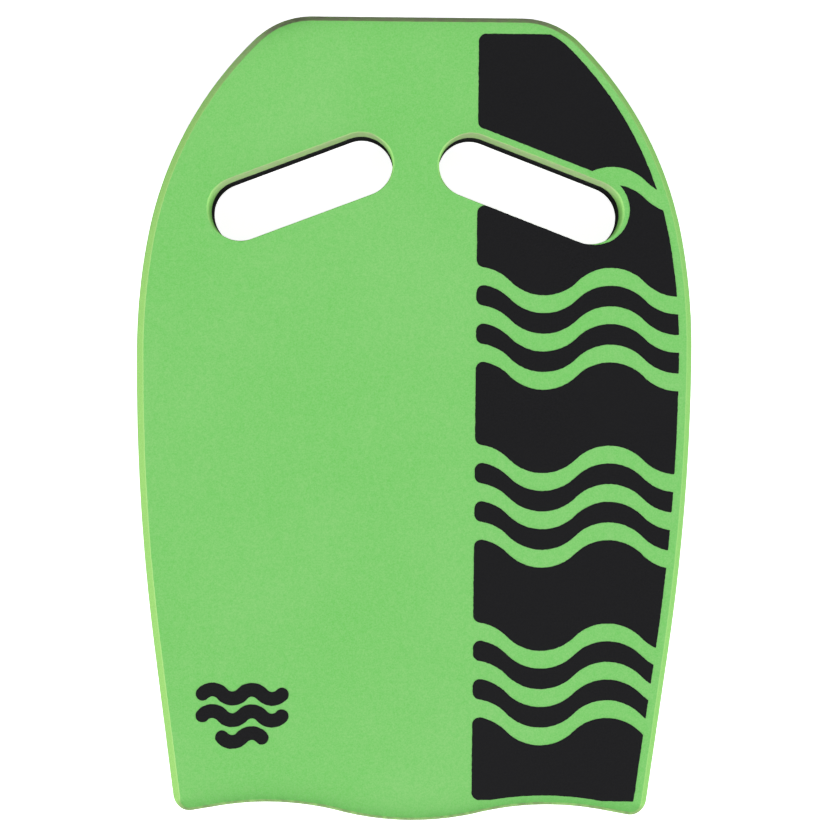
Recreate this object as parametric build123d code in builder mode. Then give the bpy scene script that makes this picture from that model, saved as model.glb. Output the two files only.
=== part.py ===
"""Laminated foam kickboard with two hand slots and a printed deck.

Millimetres. The board lies flat, printed deck up (+Z), nose towards +Y. The origin is under the
middle of the board's box, on the plane that the board rests on.
"""

import os

from build123d import *

# Laminate, from the resting face upwards
base_thickness = 15.8
bond_thickness = 0.2
deck_thickness = 18.0
print_thickness = 0.15
edge_radius = 3.5

# Outline, right half: each stretch is an arc given by its radius and how far it turns
half_length = 215.0
nose_half_flat = 56.3
shoulder_radius = 44.1
shoulder_turn = 44.5
flank_radius = 198.5
flank_turn = 34.9
fore_side_radius = 328.0
fore_side_turn = 90.0 - shoulder_turn - flank_turn
aft_side_radius = 1174.0
aft_side_turn = 7.8
tail_wave_radius = 157.0
tail_lobe_turn = 13.8
tail_notch_turn = 23.8
tail_corner_radius = 9.0

# Hand slots: straight-walled, inner ends nearer the nose
slot_length = 102.8
slot_width = 34.3
slot_centre_x = 61.6
slot_centre_y = 123.5
slot_tilt = 20.9

# Side print: wave bands from the nose to the tail, thick blocks parted by pairs of ripples
side_print_left = 33.0
side_print_top = 206.0
side_print_bottom = -203.5
side_print_margin = 5.2
side_print_shift = 2.0
band_plan = ("nose", "block") + ("ripple", "ripple", "block") * 3
nose_band_height = 85.5
ripple_height = 11.0
wave_gap = 9.5
wave_height = 7.5
half_wave = 36.0
half_waves = 4
band_corner_radius = 4.0
knockout_growth = 1.6
knockout_shift_x = 2.2
knockout_shift_y = 1.2

# Corner mark: short wave strokes, one above the other
mark_centre_x = -90.0
mark_top_y = -148.2
mark_pitch = 11.6
mark_half_wave = 10.6
mark_wave_height = 2.4
mark_stroke_width = 7.4
mark_half_waves = (4, 4, 2)

bond_z = base_thickness
deck_z = bond_z + bond_thickness
print_z = deck_z + deck_thickness
wave_rise = side_print_top - side_print_bottom + 2 * wave_height
ripples_and_gaps = band_plan.count("ripple") * ripple_height + (len(band_plan) - 1) * wave_gap
block_height = (wave_rise - nose_band_height - ripples_and_gaps) / band_plan.count("block")
band_heights = {"nose": nose_band_height, "block": block_height, "ripple": ripple_height}

wave_start_x = side_print_left - half_wave / 2
wave_end_x = wave_start_x + half_wave * half_waves

os.makedirs("parts", exist_ok=True)


def save(piece, name):
    """Label a finished piece and write it as its own STEP file."""
    piece.label = name
    export_step(piece, f"parts/{name}.step")


# ---- Shared profiles -------------------------------------------------------------------------

with BuildSketch() as board_outline:
    with BuildLine() as right_half:
        nose = Line((0, half_length), (nose_half_flat, half_length))
        shoulder = JernArc(nose @ 1, nose % 1, shoulder_radius, -shoulder_turn)
        flank = JernArc(shoulder @ 1, shoulder % 1, flank_radius, -flank_turn)
        fore_side = JernArc(flank @ 1, flank % 1, fore_side_radius, -fore_side_turn)
        aft_side = JernArc(fore_side @ 1, fore_side % 1, aft_side_radius, -aft_side_turn)
        lobe = JernArc((0, -half_length), (1, 0), tail_wave_radius, tail_lobe_turn)
        notch = JernArc(lobe @ 1, lobe % 1, tail_wave_radius, -tail_notch_turn)
        tail_guide = PolarLine(notch @ 1, half_length, direction=notch % 1, mode=Mode.PRIVATE)
        side_line = IntersectingLine(aft_side @ 1, aft_side % 1, tail_guide)
        tail_end = Line(notch @ 1, side_line @ 1)
        mirror(about=Plane.YZ)
    make_face()
    tail_corners = board_outline.vertices().group_by(Axis.Y)[0]
    fillet(tail_corners, radius=tail_corner_radius)

with BuildSketch() as hand_slots:
    with Locations((slot_centre_x, slot_centre_y)):
        SlotOverall(slot_length, slot_width, rotation=-slot_tilt)
    mirror(about=Plane.YZ)


# ---- Foam sheets and the adhesive between them -----------------------------------------------

with BuildPart() as base_foam:
    add(board_outline.sketch)
    extrude(amount=base_thickness)
    fillet(base_foam.edges().group_by(Axis.Z)[0], radius=edge_radius)
    add(hand_slots.sketch)
    extrude(amount=base_thickness, mode=Mode.SUBTRACT)
save(base_foam.part, "base_foam")

with BuildPart() as bond_film:
    with BuildSketch(Plane.XY.offset(bond_z)):
        add(board_outline.sketch)
        add(hand_slots.sketch, mode=Mode.SUBTRACT)
    extrude(amount=bond_thickness)
save(bond_film.part, "bond_film")

with BuildPart() as deck_foam:
    with BuildSketch(Plane.XY.offset(deck_z)):
        add(board_outline.sketch)
    extrude(amount=deck_thickness)
    fillet(deck_foam.edges().group_by(Axis.Z)[-1], radius=edge_radius)
    with BuildSketch(Plane.XY.offset(deck_z)):
        add(hand_slots.sketch)
    extrude(amount=deck_thickness, mode=Mode.SUBTRACT)
save(deck_foam.part, "deck_foam")


# ---- Printed film on the deck ----------------------------------------------------------------

def wave_edge(y):
    """Draw one side-print wave edge in the current BuildLine, as equal arcs up and down in turn.

    The first arc is centred on the print's left edge, so the edge meets the wave at its crest.
    """
    for index in range(half_waves):
        arc_start = wave_start_x + index * half_wave
        sagitta = -wave_height if index % 2 else wave_height
        SagittaArc((arc_start, y), (arc_start + half_wave, y), sagitta)


with BuildSketch() as side_print_zone:
    add(Pos(-side_print_shift, 0) * board_outline.sketch)
    offset(amount=-side_print_margin)
    with Locations((side_print_left, side_print_bottom)):
        Rectangle(wave_end_x - side_print_left, side_print_top - side_print_bottom,
                  align=Align.MIN, mode=Mode.INTERSECT)
    with Locations((slot_centre_x + knockout_shift_x, slot_centre_y + knockout_shift_y)):
        SlotOverall(slot_length + 2 * knockout_growth, slot_width + 2 * knockout_growth,
                    rotation=-slot_tilt, mode=Mode.SUBTRACT)
    add(hand_slots.sketch, mode=Mode.SUBTRACT)


def side_band(name, top_y, height):
    """Make one wave band of the side print, cut to the print zone."""
    bottom_y = top_y - height
    with BuildPart() as band:
        with BuildSketch(Plane.XY.offset(print_z)) as band_face:
            with BuildLine():
                wave_edge(top_y)
                wave_edge(bottom_y)
                Line((wave_start_x, top_y), (wave_start_x, bottom_y))
                Line((wave_end_x, top_y), (wave_end_x, bottom_y))
            make_face()
            add(side_print_zone.sketch, mode=Mode.INTERSECT)
            left_corners = band_face.vertices().group_by(Axis.X)[0]
            fillet(left_corners, radius=band_corner_radius)
        extrude(amount=print_thickness)
    save(band.part, name)


band_top = side_print_top + wave_height
for index, band_kind in enumerate(band_plan):
    side_band(f"side_print_{index + 1}", band_top, band_heights[band_kind])
    band_top -= band_heights[band_kind] + wave_gap


def mark_stroke(name, centre_y, stroke_half_waves):
    """Make one round-ended wave stroke of the corner mark."""
    start_x = mark_centre_x - stroke_half_waves * mark_half_wave / 2
    first_step = (max(mark_half_waves) - stroke_half_waves) // 2
    with BuildPart() as stroke:
        with BuildSketch(Plane.XY.offset(print_z)):
            for step in range(stroke_half_waves):
                arc_start = start_x + step * mark_half_wave
                falls = (first_step + step) % 2
                sagitta = -mark_wave_height if falls else mark_wave_height
                spine = SagittaArc((arc_start, centre_y), (arc_start + mark_half_wave, centre_y),
                                   sagitta)
                SlotArc(spine, mark_stroke_width)
        extrude(amount=print_thickness)
    save(stroke.part, name)


for index, stroke_half_waves in enumerate(mark_half_waves):
    mark_stroke(f"corner_mark_{index + 1}", mark_top_y - index * mark_pitch, stroke_half_waves)
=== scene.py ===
"""A laminated foam kickboard on a pale studio floor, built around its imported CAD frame.

Metres and degrees throughout, in the frame's own axes: nose towards +Y, printed deck up (+Z).
"""

import math

import bpy
import numpy as np
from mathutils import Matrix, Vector, kdtree, noise
from mathutils.geometry import delaunay_2d_cdt


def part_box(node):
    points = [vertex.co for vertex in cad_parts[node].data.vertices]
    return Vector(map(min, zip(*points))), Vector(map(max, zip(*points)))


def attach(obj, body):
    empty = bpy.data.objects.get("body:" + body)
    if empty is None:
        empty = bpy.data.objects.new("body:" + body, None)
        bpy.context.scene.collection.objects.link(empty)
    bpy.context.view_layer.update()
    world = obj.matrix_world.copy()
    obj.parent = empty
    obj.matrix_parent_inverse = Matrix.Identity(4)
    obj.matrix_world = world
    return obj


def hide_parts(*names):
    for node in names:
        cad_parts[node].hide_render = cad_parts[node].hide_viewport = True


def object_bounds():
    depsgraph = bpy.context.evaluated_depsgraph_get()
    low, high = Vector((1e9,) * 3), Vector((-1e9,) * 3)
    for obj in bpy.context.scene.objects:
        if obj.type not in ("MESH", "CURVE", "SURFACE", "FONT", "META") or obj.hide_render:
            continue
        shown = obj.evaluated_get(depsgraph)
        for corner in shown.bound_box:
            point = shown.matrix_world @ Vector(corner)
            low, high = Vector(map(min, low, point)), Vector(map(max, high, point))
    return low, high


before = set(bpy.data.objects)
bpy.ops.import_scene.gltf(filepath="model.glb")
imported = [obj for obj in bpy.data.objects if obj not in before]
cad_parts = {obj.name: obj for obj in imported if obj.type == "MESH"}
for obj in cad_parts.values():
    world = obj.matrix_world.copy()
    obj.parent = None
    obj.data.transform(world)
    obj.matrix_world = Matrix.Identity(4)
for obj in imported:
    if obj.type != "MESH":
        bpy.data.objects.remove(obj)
cad_low, cad_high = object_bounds()

MM = 0.001

# Board outline, right half: each stretch is an arc, by its radius and how far it turns
half_length = cad_high.y
nose_half_flat = 56.3 * MM
shoulder_radius = 44.1 * MM
shoulder_turn = 44.5
flank_radius = 198.5 * MM
flank_turn = 34.9
fore_side_radius = 328.0 * MM
fore_side_turn = 90.0 - shoulder_turn - flank_turn
aft_side_radius = 1174.0 * MM
aft_side_turn = 7.8
tail_wave_radius = 157.0 * MM
tail_lobe_turn = 13.8
tail_notch_turn = 23.8
tail_corner_radius = 9.0 * MM

# Hand slots: straight-walled, inner ends nearer the nose
slot_length = 102.8 * MM
slot_width = 34.3 * MM
slot_centre_x = 61.6 * MM
slot_centre_y = 123.5 * MM
slot_tilt = 20.9

# Routed edges: a bevel that turns into the wall, widest along the sides and narrowest at the tail
left_edge_width = 4.2 * MM
right_edge_width = 3.2 * MM
nose_edge_width = 2.9 * MM
tail_edge_width = 1.7 * MM
slot_edge_width = 0.3 * MM
slot_end_edge_width = 1.0 * MM
bevel_slope = 0.72
seam_inset = 0.16 * MM
seam_height = 0.35 * MM

# Mesh steps; a lattice point's clearance from a rim is in lattice steps
rim_step = 1.6 * MM
rim_turn_step = 5.0
board_bevel_steps = 7
slot_bevel_steps = 3
wall_step = 2.2 * MM
cap_step = 2.3 * MM
print_step = 3.0 * MM
print_rim_step = 0.7 * MM
lattice_clearance = 0.7
merge_distance = 1e-7

# Relief that foam has: a slow swell over the faces, and a fine unevenness of the cut walls
swell_height = 0.11 * MM
swell_wavelength = 62.0 * MM
ripple_share = 0.25
ripple_frequency = 3.1
wall_relief = 0.045 * MM
wall_relief_wavelength = 3.2 * MM

# Adhesive line: how far inside the rim it stops, and how far it wanders from there
bond_inset = 0.12 * MM
bond_wander = 0.14 * MM
bond_wavelength = 4.0 * MM

# Print: its edge frays finely and wanders slowly, and the film is part sunk in the deck
print_fray = 0.16 * MM
print_fray_wavelength = 1.3 * MM
print_wander = 0.10 * MM
print_wander_wavelength = 5.0 * MM
print_sunk_share = 0.2

# Wear and painted shade, as shares: dust is a pale bloom in the cut cells, and also painted shade
# that greys the nose band and a painted light tint on the slots' nose-side walls; scuff is a
# darker grime, and also painted shade by the nose and tail edges. The right side is less dusty and
# less raw, the lower rawness a painted darker band, the crease holds part of the dust, and some
# wear and painted shade lasts down the walls.
nose_painted_grey_shade = 0.85
tail_dust_and_shade = 0.08
slot_dust_and_light_tint = 0.58
nose_painted_dark_shade = 0.2
tail_grime_and_shade = 0.72
stain_scuff = 0.55
slot_grime_and_shade = 0.15
right_dust_and_shade_loss = 0.6
right_painted_band_shade = 0.4
crease_dust_and_shade = 0.5
lasting_wear_and_shade = 0.25

# How far past the crease the dust and painted shade are full: at once in the slots
edge_dust_and_shade_start = 1.8 * MM
slot_dust_and_shade_start = 0.05 * MM

# How far down the walls wear and painted shade reach: only past the outer bevel, but right through
# the slots
edge_wear_and_shade_reach = 5.0 * MM
slot_wear_and_shade_reach = 40.0 * MM

# How far from an edge its grime and painted shade still show on the skin, and the farthest edge
# distance kept
grime_and_shade_fade = 4.0 * MM
edge_reach = 12.0 * MM

# A stain on the nose's left shoulder, where the board gets set down
stain_x = -68.0 * MM
stain_y = 207.0 * MM
stain_reach = 18.0 * MM

# Texture sizes and depths of the materials
grain_size = 0.7 * MM
mottle_size = 3.5 * MM
drift_size = 60.0 * MM
pore_size = 0.55 * MM
relief_size = 0.6 * MM
foam_relief = 0.09 * MM
crease_wander = 0.2 * MM
crease_wander_size = 2.2 * MM
crease_blur = 0.12 * MM
# A painted highlight line just past the crease: where it starts, is full and ends
crease_highlight_start = 0.15 * MM
crease_highlight_full = 0.3 * MM
crease_highlight_end = 1.0 * MM
film_grain_size = 0.9 * MM
film_relief = 0.03 * MM
adhesive_blob_size = 2.5 * MM
adhesive_relief = 0.05 * MM

# Studio; the camera's height is above the board
floor_radius = 8.0
dome_radius = 7.9
paper_glow = 0.94
softbox_spread = 28.0
ambient_light = 0.13
camera_x = -8.8 * MM
camera_y = 14.8 * MM
camera_height = 0.94
camera_roll = 0.57
lens_length = 75.85
lens_shift_x = 0.0243
lens_shift_y = -0.0321


# ---- Plan curves ------------------------------------------------------------------------------

class Walk:
    """A walk in plan along straight runs and arcs; its trail keeps x, y and heading."""

    def __init__(self, x, y, heading):
        self.x = x
        self.y = y
        self.heading = heading
        self.trail = [(x, y, heading)]

    def step(self, length, turn):
        """One chord, halfway between the headings at its ends."""
        direction = math.radians(self.heading + turn / 2)
        self.x += length * math.cos(direction)
        self.y += length * math.sin(direction)
        self.heading += turn
        self.trail.append((self.x, self.y, self.heading))

    def run(self, length):
        steps = max(1, round(length / rim_step))
        for _ in range(steps):
            self.step(length / steps, 0.0)

    def arc(self, radius, turn):
        length = radius * math.radians(abs(turn))
        steps = math.ceil(max(length / rim_step, abs(turn) / rim_turn_step))
        chord = 2 * radius * math.sin(math.radians(abs(turn)) / steps / 2)
        for _ in range(steps):
            self.step(chord, turn / steps)

    def rim(self):
        """The trail as points and unit normals; the normals point left, into the open."""
        trail = np.array(self.trail)
        heading = np.radians(trail[:, 2])
        return trail[:, :2], np.stack((-np.sin(heading), np.cos(heading)), 1)


def cross(a, b):
    return a[0] * b[1] - a[1] * b[0]


def runs_to_corner(side, tail):
    """How far two walks' ends, each going straight on, are from the point where they meet."""
    u = (math.cos(math.radians(side.heading)), math.sin(math.radians(side.heading)))
    w = (math.cos(math.radians(tail.heading)), math.sin(math.radians(tail.heading)))
    gap = (tail.x - side.x, tail.y - side.y)
    return cross(gap, w) / cross(u, w), cross(gap, u) / cross(u, w)


def board_rim():
    """The closed outline, clockwise from the middle of the nose."""
    tail = Walk(0.0, -half_length, 0.0)
    tail.arc(tail_wave_radius, tail_lobe_turn)
    tail.arc(tail_wave_radius, -tail_notch_turn)
    side = Walk(0.0, half_length, 0.0)
    side.run(nose_half_flat)
    side.arc(shoulder_radius, -shoulder_turn)
    side.arc(flank_radius, -flank_turn)
    side.arc(fore_side_radius, -fore_side_turn)
    side.arc(aft_side_radius, -aft_side_turn)
    side_run, tail_run = runs_to_corner(side, tail)
    corner_turn = 180.0 + side.heading - tail.heading
    setback = tail_corner_radius * math.tan(math.radians(corner_turn / 2))
    side.run(side_run - setback)
    side.arc(tail_corner_radius, -corner_turn)
    side.run(tail_run - setback)
    side.arc(tail_wave_radius, tail_notch_turn)
    side.arc(tail_wave_radius, -tail_lobe_turn)
    points, normals = side.rim()
    mirror = np.array((-1.0, 1.0))
    return (np.concatenate((points, points[-2:0:-1] * mirror)),
            np.concatenate((normals, normals[-2:0:-1] * mirror)))


def slot_rim(side):
    """A hand slot's closed outline, anticlockwise; side is 1 for the right one, -1 for the left."""
    tilt = math.radians(-side * slot_tilt)
    straight = slot_length - slot_width
    x = slot_centre_x * side - math.cos(tilt) * straight / 2 + math.sin(tilt) * slot_width / 2
    y = slot_centre_y - math.sin(tilt) * straight / 2 - math.cos(tilt) * slot_width / 2
    walk = Walk(x, y, -side * slot_tilt)
    for _ in range(2):
        walk.run(straight)
        walk.arc(slot_width / 2, 180.0)
    points, normals = walk.rim()
    return points[:-1], normals[:-1]


# ---- Relief -----------------------------------------------------------------------------------

def swell(x, y):
    """Height of a foam face above its plane."""
    place = Vector((x, y, 0.0)) / swell_wavelength
    ripple = ripple_share * noise.noise(place * ripple_frequency)
    return swell_height * (noise.noise(place) + ripple)


def wall_unevenness(x, y, depth):
    """How far in from its plan a cut wall is."""
    return wall_relief * noise.noise(Vector((x, y, depth)) / wall_relief_wavelength)


def raggedness(x, y):
    """How far out from its plan a print's edge is."""
    place = Vector((x, y, 0.0))
    return (print_fray * noise.noise(place / print_fray_wavelength)
            + print_wander * noise.noise(place / print_wander_wavelength))


# ---- Mesh building ----------------------------------------------------------------------------
# A loop is one closed outline of a face: its plan points, their normals into the open, and the
# number of its first vertex. A face's loops are its rim first and then its holes.

def lattice(loops, step):
    """The points of a triangular lattice that are inside a face.

    Also returns each one's distance from the nearest loop point, and that point's number counted
    along the loops.
    """
    rims = np.concatenate([points for points, _, _ in loops])
    normals = np.concatenate([normals for _, normals, _ in loops])
    tree = kdtree.KDTree(len(rims))
    for index, point in enumerate(rims):
        tree.insert((point[0], point[1], 0.0), index)
    tree.balance()
    low = rims.min(0)
    high = rims.max(0)
    row_height = step * math.sqrt(3) / 2
    inner = []
    distances = []
    nearests = []
    for row in range(int((high[1] - low[1]) / row_height) + 1):
        y = low[1] + row * row_height
        offset = step / 2 * (row % 2)
        for column in range(int((high[0] - low[0]) / step) + 1):
            x = low[0] + offset + column * step
            _, nearest, distance = tree.find((x, y, 0.0))
            inward = np.dot(rims[nearest] - (x, y), normals[nearest])
            if inward > 0 and distance > lattice_clearance * step:
                inner.append((x, y))
                distances.append(distance)
                nearests.append(nearest)
    return np.array(inner), np.array(distances), np.array(nearests)


def fill(loops, inner):
    """Triangles over a face; corners are counted along its loops, then through the inner points."""
    flat = [Vector(point) for points, _, _ in loops for point in points]
    flat += [Vector(point) for point in inner]
    edges = []
    hole_of = [0] * len(flat)
    start = 0
    for number, (points, _, _) in enumerate(loops):
        count = len(points)
        edges += [(start + i, start + (i + 1) % count) for i in range(count)]
        hole_of[start:start + count] = [number] * count
        start += count
    inside_outline = 1
    made_points, _, faces, sources, _, _ = delaunay_2d_cdt(flat, edges, [], inside_outline,
                                                           merge_distance)
    if len(made_points) != len(flat):
        raise ValueError("a face's outline crosses itself")
    triangles = []
    for face in faces:
        corners = tuple(sources[corner][0] for corner in face)
        holes = {hole_of[corner] for corner in corners}
        if len(holes) > 1 or 0 in holes:
            triangles.append(corners)
    return triangles


def lifted(points, heights):
    """Plan points at their heights."""
    return np.column_stack((points, heights))


class Shell:
    """Collects a closed solid's vertices, faces and the vertex values that its material reads."""

    def __init__(self):
        self.vertices = []
        self.faces = []
        self.values = {"edge": [], "raw": [], "dust": [], "scuff": []}
        self.sharp = set()

    def add(self, points, **values):
        """Add vertices with their material values; returns the first one's number."""
        first = len(self.vertices)
        self.vertices += [tuple(point) for point in points]
        for name, kept in self.values.items():
            kept += list(np.broadcast_to(values.get(name, 0.0), len(points)))
        return first

    def bridge(self, upper, lower, count):
        """Quads between two closed rings, each given by its first vertex."""
        for i in range(count):
            j = (i + 1) % count
            self.faces.append((upper + i, upper + j, lower + j, lower + i))

    def cap(self, loops, upward, inner=(), first_inner=0):
        """Close a face with triangles; its inner points' vertices count on from first_inner."""
        numbers = [start + i for points, _, start in loops for i in range(len(points))]
        numbers += range(first_inner, first_inner + len(inner))
        for triangle in fill(loops, inner):
            corners = tuple(numbers[corner] for corner in triangle)
            self.faces.append(corners if upward else corners[::-1])

    def crease(self, ring, count):
        """Mark a closed ring's edges as sharp."""
        self.sharp.update((ring + i, ring + (i + 1) % count) for i in range(count))

    def flip(self, plane_z):
        """Turn the solid upside down about a level plane, keeping its plan."""
        self.vertices = [(x, y, 2 * plane_z - z) for x, y, z in self.vertices]
        self.faces = [face[::-1] for face in self.faces]

    def mesh_object(self, name):
        mesh = bpy.data.meshes.new(name)
        mesh.from_pydata(self.vertices, [], self.faces)
        mesh.polygons.foreach_set("use_smooth", [True] * len(mesh.polygons))
        for value_name, values in self.values.items():
            attribute = mesh.attributes.new(value_name, "FLOAT", "POINT")
            attribute.data.foreach_set("value", np.array(values, np.float32))
        sharp = {tuple(sorted(edge)) for edge in self.sharp}
        marks = [tuple(sorted(edge.vertices)) in sharp for edge in mesh.edges]
        mesh.attributes.new("sharp_edge", "BOOLEAN", "EDGE").data.foreach_set("value", marks)
        mesh.validate()
        piece = bpy.data.objects.new(name, mesh)
        bpy.context.scene.collection.objects.link(piece)
        return piece


# ---- Edges, their wear and their painted shade ------------------------------------------------

class Rim:
    """One closed edge of the board: its plan, the width of its bevel, and the wear and painted
    shade that it shows.

    Raw is how open the cut foam's cells are, dust the pale bloom that they hold and scuff the
    darker grime, each 0 to 1 at every point; both also stand for painted shade, and the dust for a
    painted light tint in the slots. Dust starts thin at the crease and is full by its start
    distance past it; most wear and painted shade is gone by the reach distance down the wall.
    """

    def __init__(self, points, normals, edge_width, bevel_steps, raw, dust, scuff, dust_and_shade_start,
                 wear_and_shade_reach):
        self.points = points
        self.normals = normals
        self.edge_width = edge_width
        self.bevel_steps = bevel_steps
        self.raw = raw
        self.dust = dust
        self.scuff = scuff
        self.dust_and_shade_start = dust_and_shade_start
        self.wear_and_shade_reach = wear_and_shade_reach

    def wear_and_shade(self, along):
        """The material values at some distance past the crease."""
        left_over = lasting_wear_and_shade + (1 - lasting_wear_and_shade) * np.exp(-(along / self.wear_and_shade_reach) ** 2)
        crease_ramp = crease_dust_and_shade + (1 - crease_dust_and_shade) * np.clip(along / self.dust_and_shade_start, 0.0, 1.0)
        return {"raw": self.raw, "dust": self.dust * left_over * crease_ramp,
                "scuff": self.scuff * left_over}

    def profile(self, thickness):
        """Each ring's inset, drop and surface distance, from the face's crease to the seam."""
        width = self.edge_width
        rings = []
        along = 0 * width
        for index in range(self.bevel_steps + 1):
            share = index / self.bevel_steps
            inset = width * (1 - share) ** 2
            drop = width * (2 * share * (1 - share) * bevel_slope + share ** 2)
            if rings:
                along = along + np.hypot(inset - rings[-1][0], drop - rings[-1][1])
            rings.append((inset, drop, along))
        wall = thickness - seam_height - width
        wall_steps = math.ceil(np.max(wall) / wall_step)
        for index in range(1, wall_steps + 1):
            fallen = wall * index / wall_steps
            rings.append((0 * width, width + fallen, along + fallen))
        rings.append((0 * width + seam_inset, 0 * width + thickness, along + wall + seam_height))
        return rings


def ease(value, low, high):
    """0 below low, 1 above high, and a smooth rise in between."""
    share = np.clip((value - low) / (high - low), 0.0, 1.0)
    return share * share * (3 - 2 * share)


def board_edge():
    """The outer edge; the width of its bevel, its wear and its painted shade depend on the way that
    it faces: painted grey shade on the nose band, painted shade with grime by the tail, and a
    painted darker band down the right side.
    """
    points, normals = board_rim()
    left, right = np.clip(-normals[:, 0], 0.0, 1.0), np.clip(normals[:, 0], 0.0, 1.0)
    tail, nose = np.clip(-normals[:, 1], 0.0, 1.0), np.clip(normals[:, 1], 0.0, 1.0)
    width = (left_edge_width * left ** 2 + right_edge_width * right ** 2
             + nose_edge_width * nose ** 2 + tail_edge_width * tail ** 2)
    from_stain = np.hypot(points[:, 0] - stain_x, points[:, 1] - stain_y)
    stain = np.exp(-(from_stain / stain_reach) ** 2)
    # Painted grey shade on the nose band, which fades out round the right shoulder
    shaded_nose = ease(nose - right_dust_and_shade_loss * right, 0.45, 0.85)
    # Less raw cut colour down the right side is a painted darker band
    return Rim(points, normals, width, board_bevel_steps,
               raw=1 - right_painted_band_shade * right ** 4,
               dust=nose_painted_grey_shade * shaded_nose + tail_dust_and_shade * tail,
               scuff=(nose_painted_dark_shade * ease(nose, 0.5, 0.9) + tail_grime_and_shade * ease(tail, 0.4, 0.9)
                      + stain_scuff * stain),
               dust_and_shade_start=edge_dust_and_shade_start, wear_and_shade_reach=edge_wear_and_shade_reach)


def slot_edge(side):
    """A hand slot's edge; its wall on the nose's side is the rawest and dustiest, its dust also a
    painted light tint.
    """
    points, normals = slot_rim(side)
    under_nose = np.clip(-normals[:, 1], 0.0, 1.0)
    at_end = ease(np.abs(normals[:, 0]), 0.5, 1.0)
    width = slot_edge_width + (slot_end_edge_width - slot_edge_width) * at_end
    # Its dust on the nose-side wall is also a painted light tint
    return Rim(points, normals, width, slot_bevel_steps,
               raw=0.5 + 0.5 * under_nose,
               dust=slot_dust_and_light_tint * ease(under_nose, 0.2, 0.9),
               scuff=slot_grime_and_shade * under_nose,
               dust_and_shade_start=slot_dust_and_shade_start, wear_and_shade_reach=slot_wear_and_shade_reach)


# ---- Foam sheets and the adhesive between them ------------------------------------------------

def foam_wall(shell, rim, high_z, thickness):
    """Build one edge, from the face down to the seam; returns the face's loop and the seam's."""
    loops = []
    for inset, drop, along in rim.profile(thickness):
        relief = np.array([wall_unevenness(*point, depth) for point, depth
                           in zip(rim.points, drop)])
        ring = rim.points - rim.normals * (inset + relief)[:, None]
        rise = np.array([swell(x, y) for x, y in ring]) * (1 - drop / thickness)
        start = shell.add(lifted(ring, high_z - drop + rise), edge=along, **rim.wear_and_shade(along))
        if loops:
            shell.bridge(loops[-1][2], start, len(ring))
        loops.append((ring, rim.normals, start))
    for ring, _, start in (loops[0], loops[-1]):
        shell.crease(start, len(ring))
    return loops[0], loops[-1]


def skin_wear_and_shade(rims, distances, nearests):
    """The wear and painted shade that a face's inner points take from the edge point nearest to
    each.
    """
    fade = np.exp(-distances / grime_and_shade_fade)
    at_crease = [rim.wear_and_shade(0.0) for rim in rims]
    return {name: np.concatenate([values[name] for values in at_crease])[nearests] * fade
            for name in at_crease[0]}


def foam_ply(name, rims, low_z, high_z, face_up):
    """One foam sheet: a skinned face with routed edges, cut walls, and a flat glued side."""
    shell = Shell()
    walls = [foam_wall(shell, rim, high_z, high_z - low_z) for rim in rims]
    face_loops, glued_loops = zip(*walls)
    inner, distances, nearests = lattice(face_loops, cap_step)
    heights = high_z + np.array([swell(x, y) for x, y in inner])
    first_inner = shell.add(lifted(inner, heights), edge=-np.minimum(distances, edge_reach),
                            **skin_wear_and_shade(rims, distances, nearests))
    shell.cap(face_loops, True, inner, first_inner)
    shell.cap(glued_loops, False)
    if not face_up:
        shell.flip((low_z + high_z) / 2)
    return shell.mesh_object(name)


def bond_line(name, rims):
    """The adhesive film; its edge wanders a little in and out of the seam."""
    low_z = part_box(name)[0].z
    high_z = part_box(name)[1].z
    shell = Shell()
    upper_loops = []
    lower_loops = []
    for rim in rims:
        wander = [noise.noise(Vector((x, y, 0.0)) / bond_wavelength) for x, y in rim.points]
        inset = bond_inset + bond_wander * np.array(wander)
        ring = rim.points - rim.normals * inset[:, None]
        for z, loops in ((high_z, upper_loops), (low_z, lower_loops)):
            start = shell.add(lifted(ring, np.full(len(ring), z)))
            shell.crease(start, len(ring))
            loops.append((ring, rim.normals, start))
        shell.bridge(upper_loops[-1][2], lower_loops[-1][2], len(ring))
    shell.cap(upper_loops, True)
    shell.cap(lower_loops, False)
    return shell.mesh_object(name + "_edge")


# ---- Print ------------------------------------------------------------------------------------

def top_outline(node):
    """A CAD node's top face as one closed clockwise outline."""
    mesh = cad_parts[node].data
    top_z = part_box(node)[1].z
    level_tolerance = 0.01 * MM
    # Vertices in the same place count as one, so that the faces join up
    spot_numbers = {}
    spot_of = []
    for vertex in mesh.vertices:
        place = (round(vertex.co.x / MM, 3), round(vertex.co.y / MM, 3), round(vertex.co.z / MM, 3))
        spot_of.append(spot_numbers.setdefault(place, len(spot_numbers)))
    spots = np.array(list(spot_numbers)) * MM
    half_edges = set()
    for face in mesh.polygons:
        corners = [spot_of[vertex] for vertex in face.vertices]
        if all(abs(spots[corner][2] - top_z) < level_tolerance for corner in corners):
            half_edges.update(zip(corners, corners[1:] + corners[:1]))
    # An outline's edges are those that no second face shares, followed round from one of them
    follow = {b: a for a, b in half_edges if (b, a) not in half_edges}
    start = min(follow)
    chain = [start]
    while follow[chain[-1]] != start:
        chain.append(follow[chain[-1]])
    return spots[chain][:, :2]


def evenly(points, step):
    """A closed outline resampled at an even step, with unit normals to its left."""
    closed = np.vstack((points, points[:1]))
    lengths = np.linalg.norm(np.diff(closed, axis=0), axis=1)
    marks = np.concatenate(((0.0,), np.cumsum(lengths)))
    count = round(marks[-1] / step)
    at = np.linspace(0.0, marks[-1], count, endpoint=False)
    even = np.column_stack([np.interp(at, marks, closed[:, axis]) for axis in (0, 1)])
    along = np.roll(even, -1, 0) - np.roll(even, 1, 0)
    along /= np.linalg.norm(along, axis=1)[:, None]
    return even, np.column_stack((-along[:, 1], along[:, 0]))


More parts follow.
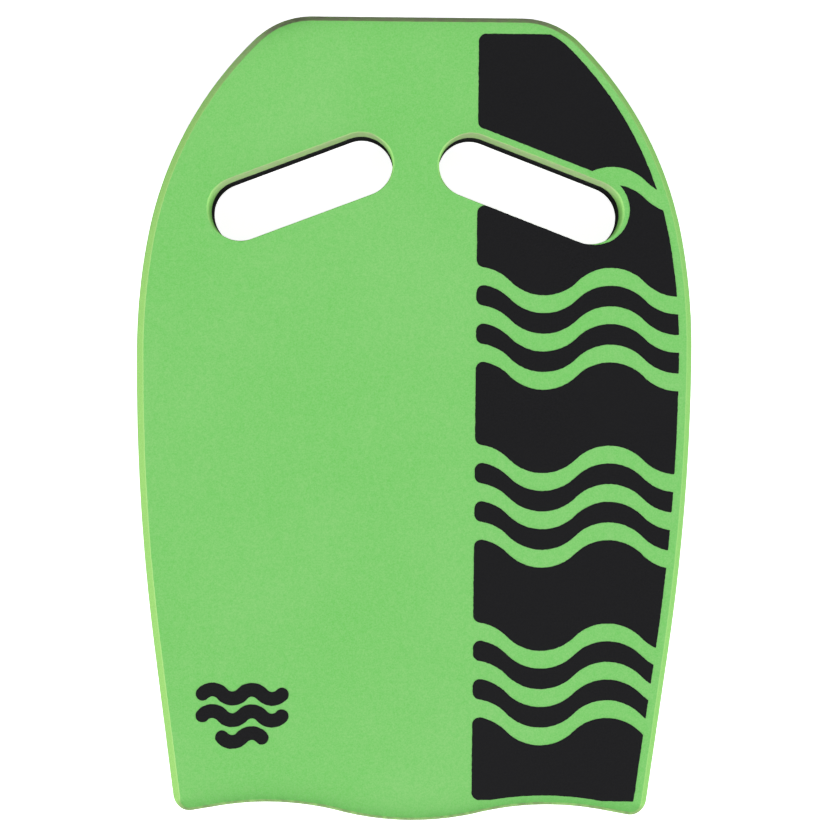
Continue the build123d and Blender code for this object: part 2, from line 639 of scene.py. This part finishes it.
def print_patch(node):
    """A print patch that lies on the swelling deck, with a slightly ragged edge."""
    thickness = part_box(node)[1].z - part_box(node)[0].z
    deck_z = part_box(node)[0].z
    points, normals = evenly(top_outline(node), print_rim_step)
    rim = points + normals * np.array([raggedness(x, y) for x, y in points])[:, None]
    inner, _, _ = lattice([(rim, normals, 0)], print_step)
    flat = np.concatenate((rim, inner))
    ground = deck_z + np.array([swell(x, y) for x, y in flat])
    shell = Shell()
    upper = shell.add(lifted(flat, ground + (1 - print_sunk_share) * thickness))
    lower = shell.add(lifted(flat, ground - print_sunk_share * thickness))
    shell.bridge(upper, lower, len(rim))
    shell.crease(upper, len(rim))
    for first, upward in ((upper, True), (lower, False)):
        shell.cap([(rim, normals, first)], upward, inner, first + len(rim))
    return shell.mesh_object(node + "_film")


# ---- Materials --------------------------------------------------------------------------------

class Finish:
    """A node material and short calls for the nodes that it is made of."""

    def __init__(self, name):
        self.material = bpy.data.materials.new(name)
        self.material.use_nodes = True
        self.tree = self.material.node_tree
        self.shader = self.tree.nodes["Principled BSDF"]
        self.place = self.node("ShaderNodeTexCoord").outputs["Object"]

    def node(self, kind, **settings):
        node = self.tree.nodes.new(kind)
        for name, value in settings.items():
            setattr(node, name, value)
        return node

    def feed(self, socket, value):
        if isinstance(value, bpy.types.NodeSocket):
            self.tree.links.new(value, socket)
        else:
            socket.default_value = value

    def noise(self, size, detail=2.0, roughness=0.5):
        """Soft noise whose blobs are about that size, 0 to 1."""
        node = self.node("ShaderNodeTexNoise")
        self.feed(node.inputs["Vector"], self.place)
        self.feed(node.inputs["Scale"], 1 / size)
        self.feed(node.inputs["Detail"], detail)
        self.feed(node.inputs["Roughness"], roughness)
        return node.outputs["Fac"]

    def cells(self, size):
        """Distance to the nearest cell centre, for a foam of cells about that size."""
        node = self.node("ShaderNodeTexVoronoi")
        self.feed(node.inputs["Vector"], self.place)
        self.feed(node.inputs["Scale"], 1 / size)
        return node.outputs["Distance"]

    def value(self, name):
        """One of the mesh's vertex values."""
        return self.node("ShaderNodeAttribute", attribute_name=name).outputs["Fac"]

    def math(self, operation, a, b=0.0, clamp=False):
        node = self.node("ShaderNodeMath", operation=operation, use_clamp=clamp)
        self.feed(node.inputs[0], a)
        self.feed(node.inputs[1], b)
        return node.outputs[0]

    def span(self, value, low, high, to_low=0.0, to_high=1.0):
        """Value from low..high to to_low..to_high, clamped."""
        node = self.node("ShaderNodeMapRange")
        for socket, number in zip(node.inputs[:5], (value, low, high, to_low, to_high)):
            self.feed(socket, number)
        return node.outputs[0]

    def mix(self, factor, a, b, data_type="RGBA"):
        node = self.node("ShaderNodeMix", data_type=data_type)
        self.feed(node.inputs["Factor"], factor)
        self.feed(node.inputs["A"], a)
        self.feed(node.inputs["B"], b)
        return node.outputs["Result"]

    def bump(self, height, depth):
        """Relief from a 0 to 1 height, that many metres deep."""
        node = self.node("ShaderNodeBump")
        self.feed(node.inputs["Height"], height)
        self.feed(node.inputs["Distance"], depth)
        self.feed(self.shader.inputs["Normal"], node.outputs["Normal"])


def shade(red, green, blue):
    """An 8-bit display colour as the linear colour that a shader takes."""
    linear = []
    for level in (red / 255, green / 255, blue / 255):
        linear.append(level / 12.92 if level <= 0.04045 else ((level + 0.055) / 1.055) ** 2.4)
    return (*linear, 1.0)


def foam_finish(name, skins, cuts, crease_highlight, dust_and_shade_tone, skin_grime_and_shade, cut_grime_and_shade):
    """Closed-cell foam: a moulded skin on its face, open cells where it was cut.

    Skins and cuts are each a darker and a lighter colour. The vertex value edge is the distance
    past the crease onto the cut surface, negative on the skin; raw, dust and scuff are the rim's,
    and dust and scuff also carry painted shade. The pale crease colour is a painted highlight, and
    the bloom and grime colours also paint shade.
    """
    finish = Finish(name)
    dust = finish.value("dust")
    scuff = finish.value("scuff")
    grain = finish.noise(grain_size, roughness=0.7)
    mottle = finish.noise(mottle_size)
    drift = finish.noise(drift_size)
    pores = finish.cells(pore_size)

    # Skin: grainy, a little mottled, slowly drifting, and darkened by the edges with grime and
    # painted shade
    blend = finish.math("ADD", finish.span(grain, 0.25, 0.75, -0.2, 1.0),
                        finish.span(mottle, 0.25, 0.75, -0.09, 0.09))
    blend = finish.math("ADD", blend, finish.span(drift, 0.25, 0.75, -0.05, 0.25), clamp=True)
    skin_patchiness = finish.span(mottle, 0.3, 0.7, 0.6, 1.0)
    skin = finish.mix(blend, *skins)
    skin = finish.mix(finish.math("MULTIPLY", scuff, skin_patchiness), skin, skin_grime_and_shade)

    # Cut foam: porous, with dust and grime in patches, also painted shade on the nose and tail
    # bands and a painted light tint in the slots
    patches = finish.span(mottle, 0.35, 0.6, 0.6, 1.0)
    cut = finish.mix(finish.span(pores, 0.1, 0.7), *cuts)
    cut = finish.mix(finish.math("MULTIPLY", dust, patches), cut, dust_and_shade_tone)
    cut = finish.mix(finish.math("MULTIPLY", scuff, patches), cut, cut_grime_and_shade)

    # A painted highlight just past the crease, where the edge has little dust, grime or painted
    # shade, and the wandering crease itself
    wander = finish.span(finish.noise(crease_wander_size), 0.2, 0.8, -crease_wander, crease_wander)
    past_crease = finish.math("ADD", finish.value("edge"), wander)
    rise = finish.span(past_crease, 0.0, crease_highlight_start)
    fall = finish.span(past_crease, crease_highlight_full, crease_highlight_end, 1.0, 0.0)
    clear_of_shade = finish.span(finish.math("ADD", dust, scuff), 0.0, 0.4, 0.7, 0.0)
    crease_highlight_share = finish.math("MULTIPLY", finish.math("MULTIPLY", rise, fall), clear_of_shade)
    cut = finish.mix(crease_highlight_share, cut, crease_highlight)
    is_cut = finish.math("MULTIPLY", finish.value("raw"),
                         finish.span(past_crease, -crease_blur, crease_blur))
    finish.feed(finish.shader.inputs["Base Color"], finish.mix(is_cut, skin, cut))

    skin_roughness = finish.span(grain, 0.2, 0.8, 0.68, 0.8)
    finish.feed(finish.shader.inputs["Roughness"],
                finish.mix(is_cut, skin_roughness, 0.95, data_type="FLOAT"))
    finish.shader.inputs["Specular IOR Level"].default_value = 0.15
    skin_relief = finish.math("MULTIPLY", finish.noise(relief_size, 3.0, 0.6), 0.35)
    finish.bump(finish.mix(is_cut, skin_relief, pores, data_type="FLOAT"), foam_relief)
    return finish.material


def green_foam():
    # The crease line colour is a painted highlight; bloom and grime colours also paint shade and
    # tint
    return foam_finish("green_foam", skins=(shade(115, 206, 99), shade(145, 213, 126)),
                       cuts=(shade(148, 209, 109), shade(166, 223, 125)),
                       crease_highlight=shade(184, 232, 148), dust_and_shade_tone=shade(178, 172, 154),
                       skin_grime_and_shade=shade(94, 172, 80), cut_grime_and_shade=shade(98, 104, 82))


def black_foam():
    # Its crease line colour is a painted highlight too
    return foam_finish("black_foam", skins=(shade(24, 24, 26), shade(35, 35, 37)),
                       cuts=(shade(17, 17, 19), shade(26, 26, 28)), crease_highlight=shade(36, 36, 38),
                       dust_and_shade_tone=shade(30, 30, 31), skin_grime_and_shade=shade(28, 28, 28),
                       cut_grime_and_shade=shade(26, 26, 26))


def bond_finish():
    """Satin contact adhesive, unevenly spread."""
    finish = Finish("adhesive")
    spread = finish.noise(adhesive_blob_size, 3.0)
    finish.feed(finish.shader.inputs["Base Color"],
                finish.mix(finish.span(spread, 0.35, 0.65), shade(30, 29, 27), shade(66, 63, 54)))
    finish.feed(finish.shader.inputs["Roughness"], finish.span(spread, 0.3, 0.7, 0.35, 0.6))
    finish.bump(spread, adhesive_relief)
    return finish.material


def print_finish():
    """Matte black film, pressed into the foam's grain."""
    finish = Finish("black_print")
    grain = finish.noise(film_grain_size, 3.0, 0.6)
    drift = finish.noise(drift_size)
    colour = finish.mix(finish.span(grain, 0.25, 0.75), shade(18, 18, 20), shade(32, 32, 34))
    colour = finish.mix(finish.span(drift, 0.3, 0.7, 0.0, 0.4), colour, shade(28, 28, 30))
    finish.feed(finish.shader.inputs["Base Color"], colour)
    finish.feed(finish.shader.inputs["Roughness"], finish.span(grain, 0.2, 0.8, 0.7, 0.85))
    finish.shader.inputs["Specular IOR Level"].default_value = 0.12
    finish.bump(finish.noise(relief_size, 3.0, 0.6), film_relief)
    return finish.material


def stage_material():
    """Pale, softly glowing studio paper."""
    finish = Finish("studio_white")
    finish.feed(finish.shader.inputs["Base Color"], (0.8, 0.8, 0.8, 1.0))
    finish.feed(finish.shader.inputs["Roughness"], 0.9)
    finish.feed(finish.shader.inputs["Emission Color"], (1.0, 1.0, 1.0, 1.0))
    finish.feed(finish.shader.inputs["Emission Strength"], paper_glow)
    return finish.material


# ---- Stage ------------------------------------------------------------------------------------

def studio():
    """A floor and a dome that only the camera sees, so that neither tints the board."""
    bpy.ops.mesh.primitive_circle_add(vertices=128, radius=floor_radius, fill_type="NGON")
    floor = bpy.context.object
    floor.name = "floor"
    bpy.ops.mesh.primitive_uv_sphere_add(segments=64, ring_count=32, radius=dome_radius)
    dome = bpy.context.object
    dome.name = "dome"
    paper = stage_material()
    for backdrop in (floor, dome):
        backdrop.data.materials.append(paper)
        backdrop.visible_diffuse = False
        backdrop.visible_glossy = False
        backdrop.visible_shadow = False


def softbox(name, azimuth, elevation, brightness):
    """A wide, far light; azimuth is anticlockwise from +X, brightness what a white face returns."""
    lamp = bpy.data.lights.new(name, "SUN")
    lamp.angle = math.radians(softbox_spread)
    lamp.energy = brightness * math.pi
    light = bpy.data.objects.new(name, lamp)
    bpy.context.scene.collection.objects.link(light)
    around = math.radians(azimuth)
    up = math.radians(elevation)
    towards = Vector((math.cos(around) * math.cos(up), math.sin(around) * math.cos(up),
                      math.sin(up)))
    light.location = towards
    light.rotation_euler = towards.to_track_quat("Z", "Y").to_euler()


def lights():
    softbox("tail_key", azimuth=-90, elevation=38, brightness=0.94)
    softbox("left_side", azimuth=180, elevation=14, brightness=0.55)
    softbox("right_side", azimuth=0, elevation=14, brightness=0.55)
    world = bpy.data.worlds.new("ambient")
    world.use_nodes = True
    background = world.node_tree.nodes["Background"]
    background.inputs["Color"].default_value = (1.0, 1.0, 1.0, 1.0)
    background.inputs["Strength"].default_value = ambient_light
    bpy.context.scene.world = world


def camera():
    """Straight down over the deck, a little towards the nose and the left side."""
    data = bpy.data.cameras.new("camera")
    data.sensor_width = 36.0
    data.lens = lens_length
    data.shift_x = lens_shift_x
    data.shift_y = lens_shift_y
    eye = bpy.data.objects.new("camera", data)
    bpy.context.scene.collection.objects.link(eye)
    eye.location = (camera_x, camera_y, cad_high.z + camera_height)
    eye.rotation_euler = (0.0, 0.0, math.radians(camera_roll))
    bpy.context.scene.camera = eye


# ---- Assembly ---------------------------------------------------------------------------------

def dress(piece, material, node):
    """Give a piece its material, and put it in its CAD node's place."""
    piece.data.materials.append(material)
    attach(piece, "root")
    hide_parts(node)


rims = [board_edge(), slot_edge(1), slot_edge(-1)]

deck_low, deck_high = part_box("deck_foam")
base_low, base_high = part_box("base_foam")
deck = foam_ply("deck_foam_sheet", rims, deck_low.z, deck_high.z, face_up=True)
base = foam_ply("base_foam_sheet", rims, base_low.z, base_high.z, face_up=False)
dress(deck, green_foam(), "deck_foam")
dress(base, black_foam(), "base_foam")
dress(bond_line("bond_film", rims), bond_finish(), "bond_film")

ink = print_finish()
for node in sorted(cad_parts):
    if node.startswith(("side_print", "corner_mark")):
        dress(print_patch(node), ink, node)

studio()
lights()
camera()
bpy.context.scene.view_settings.view_transform = "Standard"
